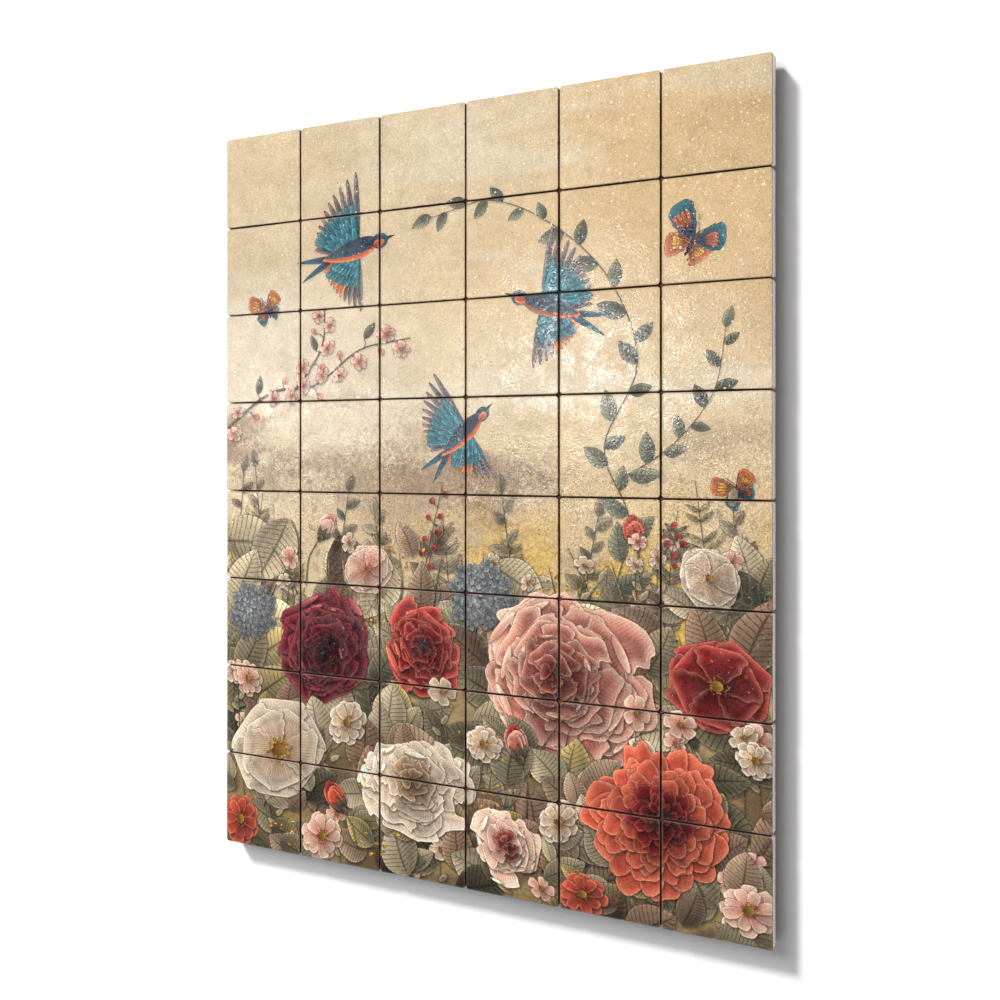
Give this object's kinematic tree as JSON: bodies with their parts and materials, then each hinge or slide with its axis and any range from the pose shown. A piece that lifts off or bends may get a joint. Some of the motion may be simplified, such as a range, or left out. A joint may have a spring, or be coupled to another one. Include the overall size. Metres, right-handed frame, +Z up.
{
  "type": "tile panel",
  "caption": "Upright wall panel of square hand-made glazed tiles with a painted garden picture, set in dark recessed grout on a thin backing board.",
  "frame": {"origin": "middle of the backing board's flat back face, where the panel lies on the wall", "axes": "the painted faces look towards -Y, +X is to the right as one faces them, +Z is up"},
  "size_m": [0.6008, 0.0209, 0.8046],
  "materials": {
    "glazed_tile": "soft uneven gloss glaze over hand painting, bare clay on the sides",
    "grout": "matt sanded dark brown grout",
    "board": "matt dark stained fibreboard"
  },
  "bodies": {
    "root": {"tile_r1_c1": "glazed_tile", "tile_r1_c2": "glazed_tile", "tile_r1_c3": "glazed_tile", "tile_r1_c4": "glazed_tile", "tile_r1_c5": "glazed_tile", "tile_r1_c6": "glazed_tile", "tile_r2_c1": "glazed_tile", "tile_r2_c2": "glazed_tile", "tile_r2_c3": "glazed_tile", "tile_r2_c4": "glazed_tile", "tile_r2_c5": "glazed_tile", "tile_r2_c6": "glazed_tile", "tile_r3_c1": "glazed_tile", "tile_r3_c2": "glazed_tile", "tile_r3_c3": "glazed_tile", "tile_r3_c4": "glazed_tile", "tile_r3_c5": "glazed_tile", "tile_r3_c6": "glazed_tile", "tile_r4_c1": "glazed_tile", "tile_r4_c2": "glazed_tile", "tile_r4_c3": "glazed_tile", "tile_r4_c4": "glazed_tile", "tile_r4_c5": "glazed_tile", "tile_r4_c6": "glazed_tile", "tile_r5_c1": "glazed_tile", "tile_r5_c2": "glazed_tile", "tile_r5_c3": "glazed_tile", "tile_r5_c4": "glazed_tile", "tile_r5_c5": "glazed_tile", "tile_r5_c6": "glazed_tile", "tile_r6_c1": "glazed_tile", "tile_r6_c2": "glazed_tile", "tile_r6_c3": "glazed_tile", "tile_r6_c4": "glazed_tile", "tile_r6_c5": "glazed_tile", "tile_r6_c6": "glazed_tile", "tile_r7_c1": "glazed_tile", "tile_r7_c2": "glazed_tile", "tile_r7_c3": "glazed_tile", "tile_r7_c4": "glazed_tile", "tile_r7_c5": "glazed_tile", "tile_r7_c6": "glazed_tile", "tile_r8_c1": "glazed_tile", "tile_r8_c2": "glazed_tile", "tile_r8_c3": "glazed_tile", "tile_r8_c4": "glazed_tile", "tile_r8_c5": "glazed_tile", "tile_r8_c6": "glazed_tile", "grout": "grout", "backing_board": "board"}
  },
  "joints": []
}
